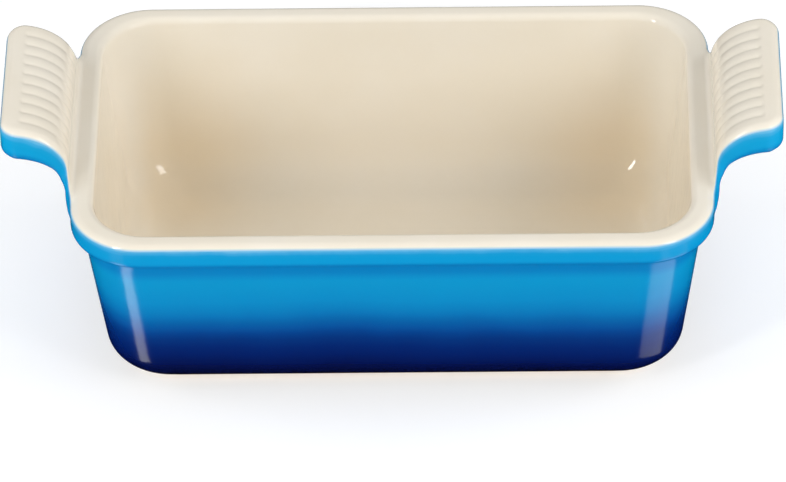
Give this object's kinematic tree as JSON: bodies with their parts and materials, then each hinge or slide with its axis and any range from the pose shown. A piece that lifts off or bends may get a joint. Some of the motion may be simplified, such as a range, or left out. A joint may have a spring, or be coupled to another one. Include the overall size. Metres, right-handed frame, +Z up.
{
  "type": "loaf pan",
  "caption": "Deep rectangular stoneware loaf pan with rounded corners, a banded lip and a raised ribbed lug handle at each end, cream glazed inside and blue outside.",
  "frame": {"origin": "middle of the pan, on the flat its foot stands on", "axes": "+X along the pan from handle to handle, +Y across it, +Z up out of its mouth"},
  "size_m": [0.304, 0.151, 0.11],
  "materials": {
    "fired_clay": "matte",
    "cream_glaze": "gloss",
    "blue_glaze": "gloss",
    "foot_recess_glaze": "gloss"
  },
  "bodies": {
    "root": {"stoneware_body": "fired_clay", "cream_glaze": "cream_glaze", "blue_glaze": "blue_glaze", "foot_recess_glaze": "foot_recess_glaze"}
  },
  "joints": []
}
